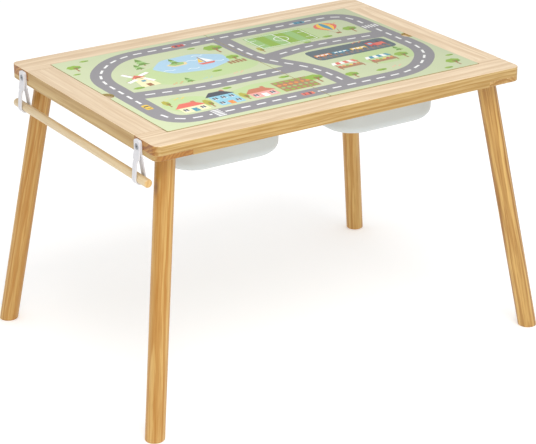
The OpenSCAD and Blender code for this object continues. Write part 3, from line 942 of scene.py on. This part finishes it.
def draw_windmill(pic, x, y, size):
    """A windmill with four sails."""
    pic.at(x, y, size)
    pic.shape("cream", [(-11, 0), (11, 0), (7, 30), (-7, 30)])
    pic.shape("coral", [(-8.5, 30), (8.5, 30), (0, 40)])
    pic.box("bark", -3, 0, 6, 9)
    pic.box("teal", -2.5, 16, 5, 5)
    hub = np.array([0.0, 31.0])
    for turn in np.radians((25, 115, 205, 295)):
        run = np.array([math.cos(turn), math.sin(turn)])
        side = np.array([-run[1], run[0]])
        near, far = hub + 6 * run, hub + 20 * run
        pic.strip("bark", [hub, far], 1.1)
        pic.shape("white", [near, far, far + 5 * side, near + 5 * side])
    pic.dot("bark", *hub, 1.8, 8)


def draw_balloon(pic, x, y, size):
    """A hot-air balloon in upright stripes, drawn in below its middle."""
    pic.at(x, y, size)
    for side in (-1, 1):
        pic.strip("bark", [(7 * side, 16), (2.6 * side, 4)], 0.6)
    pic.box("bark", -3.2, -1, 6.4, 5)
    ring = circle(24)
    ring[:, 0] *= np.where(ring[:, 1] < 0, 1 + 0.45 * ring[:, 1], 1.0)
    for ink, share in (("coral", 1.0), ("yellow", 0.66), ("teal", 0.26)):
        pic.shape(ink, 15 * ring * (share, 1.0) + (0, 29))


def draw_stall(pic, x, y, size, awning):
    """A market stall: posts, counter with fruit, and a striped awning."""
    pic.at(x, y, size)
    for left in (-16, 14.4):
        pic.box("bark", left, 0, 1.6, 20)
    pic.box("soil", -17, 4, 34, 7)
    for number, ink in enumerate(("red", "orange", "leaf", "yellow", "red", "orange")):
        pic.dot(ink, -12.5 + 5 * number, 12, 2.2, 8)
    for number in range(6):
        low, top = 6 * number - 18, 5 * number - 15
        ink = awning if number % 2 else "white"
        pic.shape(ink, [(low, 19), (low + 6, 19), (top + 5, 27), (top, 27)])


def draw_wagon(pic, x, y, size, ink, engine=False):
    """A railway wagon, or the engine that pulls it."""
    pic.at(x, y, size)
    pic.box(ink, -13, 4, 26, 12 if engine else 9)
    if engine:
        pic.box("red", -13, 4, 11, 19)
        pic.box("night", -15, 22, 15, 2.4)
        pic.box("sky", -10.5, 13, 6, 6)
        pic.box("night", 5, 16, 4, 7)
    else:
        pic.box("night", -15, 5, 2, 1.6)
        for left in (-10, -2.6, 4.8):
            pic.box("white", left, 8, 5, 3.6)
    for place in (-8, 8):
        pic.dot("night", place, 4, 3.4, 12)
        pic.dot("steel", place, 4, 1.5, 8)


def draw_streets(pic, sizes):
    """Ring road, three streets that divide its inside, their dashes, and two crossings.

    A strip can't close on itself, so the ring is two strips whose ends overlap.
    """
    width = sizes.road_width / MM
    corners = [(-272, -168), (196, -168), (274, -92), (274, 168), (-196, 168), (-272, 92)]
    ring = rounded(corners, 50, True)
    streets = [
        rounded([(62, -168), (62, -70), (8, 30), (8, 168)], 46),
        rounded([(-272, -24), (-150, -46), (50, -46)], 40),
        rounded([(24, 26), (120, 44), (274, 30)], 50),
    ]
    road, marks = tuple(sizes.road), tuple(sizes.marks)
    half = len(ring) // 2
    pic.at(0, 0)
    for street in (ring[:half + 3], np.concatenate([ring[half:], ring[1:3]]), *streets):
        pic.strip(road, street, width)
    pic.dashes(marks, ring, 8.0, 8.0)
    for street in streets:
        pic.dashes(marks, street, width / 2 + 10, width / 2 + 6)
    for x, y, turn in ((-191.5, -168, 0), (274, 79.5, -90)):
        pic.at(x, y, 1.0, turn).box(road, -11.5, -16.5, 23, 33)
        for number in range(5):
            pic.box(marks, -7.5, 6.3 * number - 14, 15, 3.4)


def draw_lake(pic):
    """A lake with a sandy island, waves, a landing stage and a boat."""
    pic.at(0, 0)
    pic.cloud("water", -100, 72, 72, 46, 7, 0.08, 48)
    pic.cloud("sand", -122, 80, 20, 11, 5)
    pic.cloud("lawn", -122, 82, 15, 8, 5)
    for x, y in ((-150, 58), (-72, 102), (-110, 46), (-54, 60), (-92, 84)):
        pic.at(x, y).strip("ripple", rounded([(-11, 0), (-4, 3), (4, -3), (11, 0)], 2.4), 1.6)
    pic.at(0, 0)
    for step in range(5):
        pic.box("bark", -46 + 7 * step, 32, 5, 14)
    draw_fir(pic, -122, 83, 0.9)
    draw_boat(pic, -76, 58, 1.6)


def draw_pitch(pic):
    """A mown sports pitch with its white lines."""
    pic.at(0, 0)
    pic.box("lawn", 42, 70, 118, 68)
    for left in (62, 101, 140):
        pic.box("leaf", left, 70, 20, 68)
    corners = [(45, 73), (157, 73), (157, 135), (45, 135)]
    for line in (*zip(corners, corners[1:] + corners[:1]), ((101, 73), (101, 135))):
        pic.strip("white", line, 1.6)
    turn = np.linspace(0.0, np.pi, 13)
    for side in (-13, 13):
        pic.strip("white", np.stack([101 + 13 * np.cos(turn), 104 + side * np.sin(turn)], -1), 1.6)
    for left in (45, 144):
        for low in (90, 118):
            pic.strip("white", [(left, low), (left + 13, low)], 1.4)


def draw_garden(pic):
    """A vegetable garden in rows."""
    pic.at(0, 0)
    pic.box("soil", -48, -142, 68, 50)
    for row, ink in enumerate(("leaf", "lawn", "orange", "leaf")):
        for number in range(6):
            pic.dot(ink, -41.5 + 11 * number, -135 + 12.3 * row, 3.7, 9)


def draw_railway(pic):
    """A train on a slate-coloured yard."""
    pic.at(0, 0)
    pic.shape("slate", rounded([(86, -40), (250, -40), (250, 14), (86, 14)], 14, True)[:-1])
    for number in range(14):
        pic.box("bark", 92 + 11 * number, -33, 4, 10)
    for low in (-32, -26.5):
        pic.box("steel", 90, low, 152, 1.6)
    for number, ink in enumerate(("orange", "teal", "yellow")):
        draw_wagon(pic, 108 + 37 * number, -26, 1.2, ink)
    draw_wagon(pic, 222, -26, 1.25, "coral", True)


# Middle and half sizes of the lighter patches of the ground
MEADOWS = ((-210, -104, 44, 38), (118, 104, 88, 44), (196, -70, 62, 44), (-110, 40, 130, 60),
           (-60, -112, 96, 34))
# What stands between the streets: how it is drawn, and for each one its place and what else the
# drawing takes, such as its size, its turn and its inks
TOWN = (
    (draw_windmill, ((-212, 6, 1.55),)),
    (draw_balloon, ((206, 76, 1.5),)),
    (draw_house, ((-212, -142, 1.3, "cream", "coral", "teal"),
                  (-146, -142, 1.25, "sky", "night", "orange", 2),
                  (-82, -142, 1.3, "rose", "brick", "white"))),
    (draw_stall, ((116, -100, 1.45, "coral"), (182, -104, 1.45, "teal"))),
    (draw_fir, ((-170, 104, 1.2), (-186, 88, 0.9), (-148, -14, 0.8), (236, -66, 0.8))),
    (draw_tree, ((-26, 96, 1.35), (30, -132, 1.25), (-24, 44, 0.9), (236, 66, 1.05), (224, -104, 1.0),
                 (92, -146, 0.95), (274, -184, 1.05), (-276, 138, 1.0),
                 (-180, -140, 0.95, "olive", True), (-114, -140, 0.9, "olive", True),
                 (38, 56, 0.7, "olive", True), (-238, -104, 0.8, "olive", True))),
    (draw_bush, ((-236, 2, 1.2), (-84, 10, 1.1), (-10, -80, 1.2), (176, 66, 1.2), (146, -138, 1.2),
                 (-118, -76, 1.0), (246, -190, 1.0), (288, -136, 0.9), (-288, 122, 0.8),
                 (-246, 178, 1.0), (-60, 138, 0.9), (128, 58, 0.9))),
    (draw_flowers, ((-172, -8, "coral"), (-60, -14, "rose"), (-210, -76, "yellow"), (178, -132, "rose"),
                    (222, 128, "orange"), (-116, -10, "sky"), (196, 12, "coral"))),
    (draw_car, ((-272, -84, 90, "yellow"), (-70, 168, 180, "red"), (180, 168, 0, "teal"),
                (-24, -168, 0, "coral"))),
)


def draw_town(sizes):
    """The whole picture, over both boards: streets, and what stands between them."""
    pic = Picture()
    for meadow in MEADOWS:
        pic.cloud("meadow", *meadow, 5, 0.10)
    draw_streets(pic, sizes)
    for draw in (draw_lake, draw_pitch, draw_garden, draw_railway):
        draw(pic)
    for draw, spots in TOWN:
        for spot in spots:
            draw(pic, *spot)
    return pic


# ------------------------------------------------------------------ lift-out boards

# By how much the ink darkens with each millimetre to the right and to the back: painted sheen, which
# leaves the left front of the print lighter, as if it caught more reflected light
PAINTED_SHEEN_SLOPE = (0.00046, 0.0003)
# Easing of the boards' lower edges
LOWER_EASE = 0.0002


def board_outline(side, corner, notch):
    """Outline of a board in millimetres, anticlockwise, with a round bite out of its outer edge."""
    low, high = box_of(("left" if side < 0 else "right") + "_lid")
    middle, half = (low + high)[:2] / 2 / MM, (high - low)[:2] / 2 / MM
    box = round_box(half[0], half[1], corner, 5)[0] + middle
    bite = np.linspace(1.5 * np.pi, 0.5 * np.pi, 17)[:, None]
    edge = (middle[0] + half[0], 0.0)
    outline = np.concatenate([box, edge + notch * np.hstack([np.cos(bite), np.sin(bite)])])
    return outline if side > 0 else (outline * (-1, 1) + (2 * middle[0], 0.0))[::-1]


def with_painted_sheen(tints, spots):
    """Print with painted sheen, lighter at its left front: ink times 1 - a x - b y, x and y in
    millimetres.
    """
    return np.minimum(tints * (1.0 - spots @ PAINTED_SHEEN_SLOPE)[:, None], 1.0)


def cut_picture(outline, picture, ground):
    """Cuts an outline into triangles, each with the ink that lies uppermost there."""
    low, high = outline.min(0), outline.max(0)
    near = [(part, ink) for part, ink in zip(picture.outlines, picture.inks)
            if (part.min(0) < high).all() and (part.max(0) > low).all()]
    parts, inks = zip((outline, tuple(ground)), *near)
    count = np.cumsum([0] + [len(part) for part in parts])
    rings = [list(range(a, b)) for a, b in zip(count[:-1], count[1:])]
    corners = np.concatenate(parts).tolist()
    spots, _, faces, *_, sources = geometry.delaunay_2d_cdt(corners, [], rings, 1, 1e-5)
    kept = [(face, max(source)) for face, source in zip(faces, sources) if 0 in source]
    used, triangles = np.unique([face for face, _ in kept], return_inverse=True)
    uppermost = [number for _, number in kept]
    return np.array(spots)[used], triangles.reshape(-1, 3), np.array(inks)[uppermost]


def outward(outline):
    """The mean outward normal of the two sides that meet in each corner of an outline."""
    run = unit(np.roll(outline, -1, 0) - outline)
    normal = np.stack([run[:, 1], -run[:, 0]], -1)
    return unit(normal + np.roll(normal, 1, 0))


def border_of(spots, triangles, outline):
    """The spots on an outline in their order, and where each lies: its corner and share of a side."""
    arrows = triangles[:, [0, 1, 1, 2, 2, 0]].reshape(-1, 2)
    _, which, times = np.unique(np.sort(arrows, 1), axis=0, return_inverse=True, return_counts=True)
    border = arrows[times[which.ravel()] == 1][:, 0]
    run = np.roll(outline, -1, 0) - outline
    offset = spots[border][:, None] - outline
    share = np.clip((offset * run).sum(-1) / (run**2).sum(-1), 0.0, 1.0)
    nearest = np.linalg.norm(offset - share[..., None] * run, axis=-1).argmin(1)
    travelled = nearest + share[np.arange(len(border)), nearest]
    order = np.argsort(travelled)
    return border[order], travelled[order]


def make_lids(sizes):
    """Two lift-out boards: printed top, fibreboard edge and backing.

    The top is the outline drawn in by the chamfer. Its border goes outwards and down in rows:
    the chamfer, then the wall, then the eased lower edge.
    """
    picture = draw_town(sizes)
    layers = [printed_film(), fibreboard(sizes.core), backing_film(sizes.backing)]
    out = np.array([sizes.edge, sizes.edge, sizes.edge - LOWER_EASE])[:, None, None]
    height = np.array([LID_HIGH[2] - sizes.edge, LID_LOW[2] + LOWER_EASE, LID_LOW[2]])[:, None, None]
    for side, word in ((-1, "left"), (1, "right")):
        outline = board_outline(side, sizes.corner_radius / MM, sizes.notch_radius / MM)
        normal = outward(outline)
        top = outline - normal * sizes.edge / MM
        spots, triangles, inks = cut_picture(top, picture, sizes.grass)
        border, travelled = border_of(spots, triangles, top)
        corners = np.arange(len(top) + 1)
        turned = np.concatenate([normal, normal[:1]]).T
        away = np.stack([np.interp(travelled, corners, part) for part in turned], -1)
        rows = spots[border] * MM + out * away
        rows = np.concatenate([rows, np.broadcast_to(height, rows.shape[:2] + (1,))], -1).reshape(-1, 3)
        points = np.concatenate([np.column_stack([spots * MM, np.full(len(spots), LID_HIGH[2])]), rows])
        below = len(spots) + np.arange(len(rows)).reshape(len(out), -1)
        loops = np.concatenate([border[None], below])
        ahead = np.roll(loops, -1, 1)
        walls = np.stack([loops[:-1], loops[1:], ahead[1:], ahead[:-1]], -1).reshape(-1, 4)
        name = word + "_lid_board"
        mesh = bpy.data.meshes.new(name)
        faces = [*triangles.tolist(), *walls.tolist(), loops[-1, ::-1].tolist()]
        mesh.from_pydata(points.tolist(), [], faces)
        layer = np.repeat([0, 1, 2], [len(triangles), len(walls), 1]).astype(np.int32)
        mesh.polygons.foreach_set("material_index", layer)
        tints = np.ones((len(mesh.loops), 4))
        # Painted sheen: the ink darkens towards the right and the back, so the left front is lighter
        tints[:3 * len(triangles), :3] = with_painted_sheen(np.repeat(inks, 3, 0), spots[triangles.ravel()])
        store(mesh, "ink", "FLOAT_COLOR", "CORNER", tints)
        smooth(mesh)
        add_piece(name, mesh, layers, word + "_lid", word + "_lid")


# ------------------------------------------------------------------ dowel, straps and their screws

# The dowel's place in its tree, which way its rings bulge, and how its end grain differs
DOWEL_PITH = (21.0, 0.180, -0.330)
DOWEL_FACING = (0.5, 0, 1)
DOWEL_END_TINT = (0.97, 0.80, 0.50)
# The thickness of the washer's lip and of the wall of its cone, the slit between it and the screw,
# how far above the cone's foot the screw's head ends, and the width of the slopes of the cross
WASHER_LIP = 0.00035
WASHER_WALL = 0.0008
SCREW_SLIT = 0.00008
NECK = 0.0004
CROSS_SLOPE = 0.0003
HEAD_RINGS = 60


def make_dowel(sizes):
    """The round dowel, chamfered at both ends, with its grain along it."""
    radius = (DOWEL_HIGH[0] - DOWEL_LOW[0]) / 2
    edge = sizes.dowel_edge
    half = (DOWEL_HIGH[1] - DOWEL_LOW[1]) / 2
    near = [(radius - edge, 0.0), (radius - 0.15 * edge, 0.85 * edge), (radius, 1.3 * edge)]
    rows = near + [(radius, half)] + [(r, 2 * half - y) for r, y in near[::-1]]
    centre = (DOWEL_LOW + DOWEL_HIGH) / 2 * (1, 0, 1) + (0, DOWEL_LOW[1], 0)
    mesh = revolve("roll_dowel_wood", rows, centre, (0, 1, 0))
    lay_grain(mesh, (0, 1, 0), DOWEL_FACING, DOWEL_PITH)
    wood = softwood("dowel_wood", sizes.dowel_pale, sizes.dowel_dark, sizes.ring_gap, 0.6,
                    end_tint=DOWEL_END_TINT)
    add_piece("roll_dowel_wood", mesh, [wood], "roll_dowel", "roll_dowel")


def make_straps(sizes):
    """Two straps, each a flat band folded round the dowel, wide where it is screwed on.

    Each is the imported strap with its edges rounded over, but for the edge under the washer.
    """
    skin = coated_strap(sizes.strap_tint)
    for word in ("front", "back"):
        name = word + "_strap"
        screw = (0.0, strap_middle(word), SCREW_Z)

        def radius_of(low, high):
            away = np.linalg.norm(((low + high) / 2 - screw)[:, 1:], axis=1)
            return np.where(away > WASHER_REACH, sizes.strap_edge, 0.0)

        add_piece(name + "_band", eased_copy(name, radius_of), [skin], "frame", name)


def strap_middle(word):
    """Where a strap's middle lies along the dowel."""
    low, high = box_of(word + "_strap")
    return (low[1] + high[1]) / 2


def make_strap_screws(sizes):
    """Cup washers, and countersunk screws with a cross recess.

    A washer is a flat lip that turns down into a cone. The head is flat, and sinks by the cross's
    depth where the distance to its arms, min(max(|u| - a, |v| - b), max(|v| - a, |u| - b)) with
    half width a and half length b, is below zero.
    """
    steel = plated_steel()
    face, tip = SCREW_LOW[0], SCREW_HIGH[0]
    cone = WASHER_HIGH[0] - face
    head, shank, rim = sizes.screw_head, sizes.screw_shank, WASHER_REACH
    cup = [(head + SCREW_SLIT, 0.0), (rim - 0.0003, 0.0), (rim - 0.0001, -0.0001), (rim, -0.00022),
           (rim, -WASHER_LIP), (head + WASHER_WALL, -WASHER_LIP), (shank + WASHER_WALL, -cone),
           (shank + SCREW_SLIT, -cone), (shank + SCREW_SLIT, NECK - cone)]
    r = np.append(np.linspace(0.00003, head * 0.97, HEAD_RINGS), [head, shank, shank, 0.0001])[:, None]
    h = np.append(np.zeros(HEAD_RINGS), [-SCREW_SLIT, NECK - cone, 3 * shank + face - tip, face - tip])
    u, v = r * circle(96).T[:, None]
    reach, half = sizes.cross_reach, sizes.cross_half
    outside = np.minimum(np.maximum(np.abs(u) - half, np.abs(v) - reach),
                         np.maximum(np.abs(v) - half, np.abs(u) - reach))
    sink = sizes.cross_depth * np.clip(-outside / CROSS_SLOPE, 0.0, 1.0) * (h == 0.0)[:, None]
    for word in ("front", "back"):
        centre = (face, strap_middle(word), SCREW_Z)
        name = word + "_strap_washer"
        washer = revolve(name, cup, centre, (-1, 0, 0), True)
        add_piece(name, washer, [steel], "frame", "strap_washers")
        name = word + "_strap_screw"
        screw = grid_mesh(name, centre + np.stack([sink - h[:, None], u, v], -1))
        add_piece(name, screw, [steel], "frame", "strap_screws")


HIDDEN_METAL = ("leg_hanger_bolts", "leg_insert_nuts", "cleat_screws", "centre_rail_screws",
                "corner_screws")


def finish_hidden_metal():
    """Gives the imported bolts, nuts and screws inside the wood their metal."""
    steel = plated_steel()
    steel.name = "plated_fasteners"
    for node in HIDDEN_METAL:
        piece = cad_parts[node]
        if not piece.material_slots:
            piece.data.materials.append(steel)
        for place in piece.material_slots:
            place.material = steel


# ------------------------------------------------------------------ stage

CAMERA_PLACE = (-1.6231, -2.5612, 1.4599)
CAMERA_HEADING = -32.44
CAMERA_DIP = 22.73
CAMERA_ROLL = -0.448
CAMERA_LENS = 127.02
LAMP_AIM = (0.0, 0.0, 0.42)
FLOOR_HALF = 6.0


def make_stage(sizes):
    """Floor, even light, two soft lamps and the camera of the photograph."""
    scene = bpy.context.scene
    mesh = bpy.data.meshes.new("floor")
    corners = np.array([(-1, -1, 0), (1, -1, 0), (1, 1, 0), (-1, 1, 0)]) * FLOOR_HALF
    mesh.from_pydata(corners.tolist(), [], [(0, 1, 2, 3)])
    mesh.materials.append(floor_paint(sizes.floor_tint, sizes.floor_glow))
    floor = link("floor", mesh)

    scene.world = bpy.data.worlds.new("even_light")
    scene.world.use_nodes = True
    sky = scene.world.node_tree.nodes["Background"]
    sky.inputs["Color"].default_value = (1.0, 1.0, 1.0, 1.0)
    sky.inputs["Strength"].default_value = sizes.sky

    for name, power, size, place in (("key_lamp", sizes.key, 1.8, (-0.4, -1.6, 2.9)),
                                     ("fill_lamp", sizes.fill, 0.6, (-0.8, -1.3, 0.8))):
        light = bpy.data.lights.new(name, "AREA")
        light.energy = power
        light.size = size
        aim = (Vector(LAMP_AIM) - Vector(place)).to_track_quat("-Z", "Y")
        link(name, light).matrix_world = Matrix.Translation(place) @ aim.to_matrix().to_4x4()

    lens = bpy.data.cameras.new("camera")
    lens.sensor_fit = "HORIZONTAL"
    lens.sensor_width = 36.0
    lens.lens = CAMERA_LENS
    lens.dof.use_dof = False
    camera = link("camera", lens)
    camera.matrix_world = (Matrix.Translation(CAMERA_PLACE)
                           @ Matrix.Rotation(math.radians(CAMERA_HEADING), 4, "Z")
                           @ Matrix.Rotation(math.radians(90 - CAMERA_DIP), 4, "X")
                           @ Matrix.Rotation(math.radians(CAMERA_ROLL), 4, "Z"))
    scene.camera = camera
    scene.view_settings.view_transform = "Standard"


# ------------------------------------------------------------------ add-on


class TABLE_OT_stage(bpy.types.Operator):
    """Make the floor, the light and the camera"""

    bl_idname = "table.stage"
    bl_label = "Stage"

    def execute(self, context):
        make_stage(context.scene.table_stage)
        return {"FINISHED"}


class TABLE_OT_boards(bpy.types.Operator):
    """Make the frame boards, the centre rail and the cleats"""

    bl_idname = "table.boards"
    bl_label = "Frame boards"

    def execute(self, context):
        make_boards(context.scene.table_timber)
        return {"FINISHED"}


class TABLE_OT_legs(bpy.types.Operator):
    """Make the four splayed legs"""

    bl_idname = "table.legs"
    bl_label = "Legs"

    def execute(self, context):
        make_legs(context.scene.table_timber)
        return {"FINISHED"}


class TABLE_OT_bins(bpy.types.Operator):
    """Make the two hanging bins"""

    bl_idname = "table.bins"
    bl_label = "Bins"

    def execute(self, context):
        make_bins(context.scene.table_bins)
        return {"FINISHED"}


class TABLE_OT_lids(bpy.types.Operator):
    """Make the two printed lift-out boards"""

    bl_idname = "table.lids"
    bl_label = "Printed boards"

    def execute(self, context):
        make_lids(context.scene.table_lids)
        return {"FINISHED"}


class TABLE_OT_dowel(bpy.types.Operator):
    """Make the dowel that carries a paper roll"""

    bl_idname = "table.dowel"
    bl_label = "Dowel"

    def execute(self, context):
        make_dowel(context.scene.table_timber)
        return {"FINISHED"}


class TABLE_OT_straps(bpy.types.Operator):
    """Make the two straps that carry the dowel"""

    bl_idname = "table.straps"
    bl_label = "Straps"

    def execute(self, context):
        make_straps(context.scene.table_roll)
        return {"FINISHED"}


class TABLE_OT_screws(bpy.types.Operator):
    """Make the strap screws with their washers, and give the hidden screws and bolts their metal"""

    bl_idname = "table.screws"
    bl_label = "Screws and bolts"

    def execute(self, context):
        make_strap_screws(context.scene.table_roll)
        finish_hidden_metal()
        return {"FINISHED"}


class TABLE_PT_parts(bpy.types.Panel):
    """Sizes and colours of the table, and a button for each group of pieces"""

    bl_idname = "TABLE_PT_parts"
    bl_label = "Play table"
    bl_space_type = "VIEW_3D"
    bl_region_type = "UI"
    bl_category = "Play table"

    def draw(self, context):
        for operator in OPERATORS:
            self.layout.operator(operator.bl_idname)
        for name, group in GROUPS.items():
            box = self.layout.box()
            for item in group.__annotations__:
                box.prop(getattr(context.scene, name), item)


GROUPS = {
    "table_stage": TableStage,
    "table_timber": TableTimber,
    "table_bins": TableBins,
    "table_lids": TableBoards,
    "table_roll": TableRoll,
}
OPERATORS = (TABLE_OT_stage, TABLE_OT_boards, TABLE_OT_legs, TABLE_OT_bins,
             TABLE_OT_lids, TABLE_OT_dowel, TABLE_OT_straps, TABLE_OT_screws)
CLASSES = (*GROUPS.values(), *OPERATORS, TABLE_PT_parts)


def register():
    """Adds the classes, and the property groups to the scene."""
    for one in CLASSES:
        bpy.utils.register_class(one)
    for name, group in GROUPS.items():
        setattr(bpy.types.Scene, name, PointerProperty(type=group))


def unregister():
    """Takes out what register put in."""
    for name in GROUPS:
        delattr(bpy.types.Scene, name)
    for one in reversed(CLASSES):
        bpy.utils.unregister_class(one)


def main():
    """Registers the add-on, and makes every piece."""
    register()
    bpy.ops.table.stage()
    bpy.ops.table.boards()
    bpy.ops.table.legs()
    bpy.ops.table.bins()
    bpy.ops.table.lids()
    bpy.ops.table.dowel()
    bpy.ops.table.straps()
    bpy.ops.table.screws()


if __name__ == "__main__":
    main()
